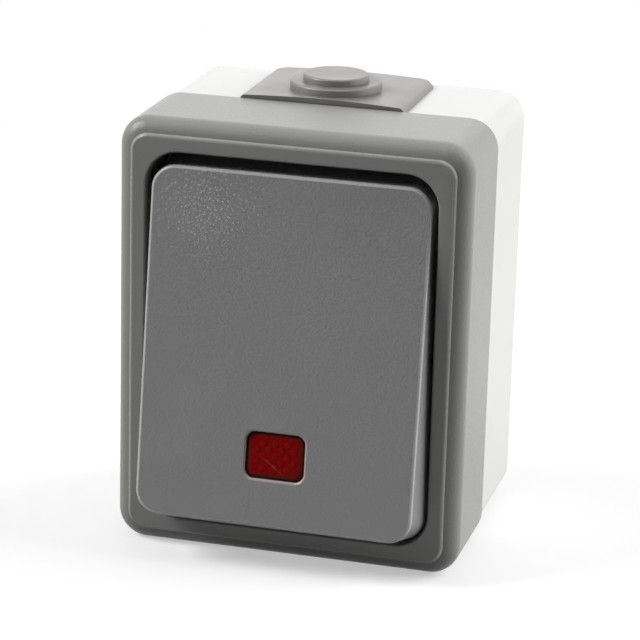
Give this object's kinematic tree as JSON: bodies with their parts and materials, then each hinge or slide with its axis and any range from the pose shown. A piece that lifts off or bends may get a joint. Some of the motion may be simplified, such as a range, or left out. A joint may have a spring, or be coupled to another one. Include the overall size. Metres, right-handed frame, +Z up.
{
  "type": "weatherproof rocker switch",
  "caption": "Surface-mounted outdoor wall switch: deep box with a sealed cable entry, grey cover with a large hinged rocker, red pilot window, and a working contact insert inside.",
  "frame": {"origin": "middle of the wall face of the box", "axes": "+X to the right, +Y into the wall, +Z up, as seen by the user"},
  "size_m": [0.066, 0.057, 0.0855],
  "materials": {
    "white_housing": "fine satin",
    "grey_cover": "fine spark-eroded grain",
    "grey_rocker": "fine spark-eroded grain",
    "red_lens": "clear gloss over a prismatic back",
    "entry_elastomer": "matt",
    "black_rubber": "matt",
    "zinc_steel": "zinc plated",
    "brass": "stamped",
    "contact_metal": "bright",
    "insulator": "satin",
    "lever_plastic": "satin",
    "lamp_glass": "clear"
  },
  "bodies": {
    "housing": {"back_box": "white_housing", "cable_entry_seal": "entry_elastomer", "box_gasket": "black_rubber", "front_cover": "grey_cover", "cover_screws": "zinc_steel", "cover_screw_seals": "black_rubber", "mounting_strap": "zinc_steel", "strap_screws": "zinc_steel", "strap_rivets": "zinc_steel", "window_seal": "black_rubber", "switch_base": "insulator", "common_strip": "brass", "upper_contact_strip": "brass", "lower_contact_strip": "brass", "neutral_strip": "brass", "fixed_contact_tips": "contact_metal", "terminal_blocks": "brass", "terminal_screws": "zinc_steel", "lamp_holder": "insulator", "neon_lamp": "lamp_glass", "lamp_lead_switched": "brass", "lamp_lead_neutral": "brass"},
    "rocker": {"rocker": "grey_rocker", "indicator_lens": "red_lens"},
    "actuator": {"actuator": "lever_plastic", "plunger_spring": "zinc_steel"},
    "plunger": {"plunger": "insulator"},
    "seesaw": {"contact_seesaw": "brass", "moving_contact_tips": "contact_metal"}
  },
  "joints": [
    {"name": "rocker_tilt", "type": "hinge", "parent": "housing", "child": "rocker", "pos_m": [0, -0.0462, 0], "axis": [1, 0, 0], "range_deg": [0, 15.62]},
    {"name": "actuator_swing", "type": "hinge", "parent": "housing", "child": "actuator", "pos_m": [0, -0.0302, 0], "axis": [1, 0, 0], "range_deg": [-24.63, 1.2]},
    {"name": "contact_flip", "type": "hinge", "parent": "housing", "child": "seesaw", "pos_m": [0, -0.0182, 0], "axis": [1, 0, 0], "range_deg": [-1.2, 22.8]},
    {"name": "plunger_slide", "type": "slide", "parent": "actuator", "child": "plunger", "axis": [0, -0.9792, -0.203], "range_m": [0, 0.0008], "stiffness_N_per_m": 400, "deforming": ["plunger_spring"]}
  ],
  "couplings": [
    {"joint": "actuator_swing", "follows": "rocker_tilt", "ratio": -1.5},
    {"joint": "contact_flip", "follows": "rocker_tilt", "ratio": 1.383}
  ]
}
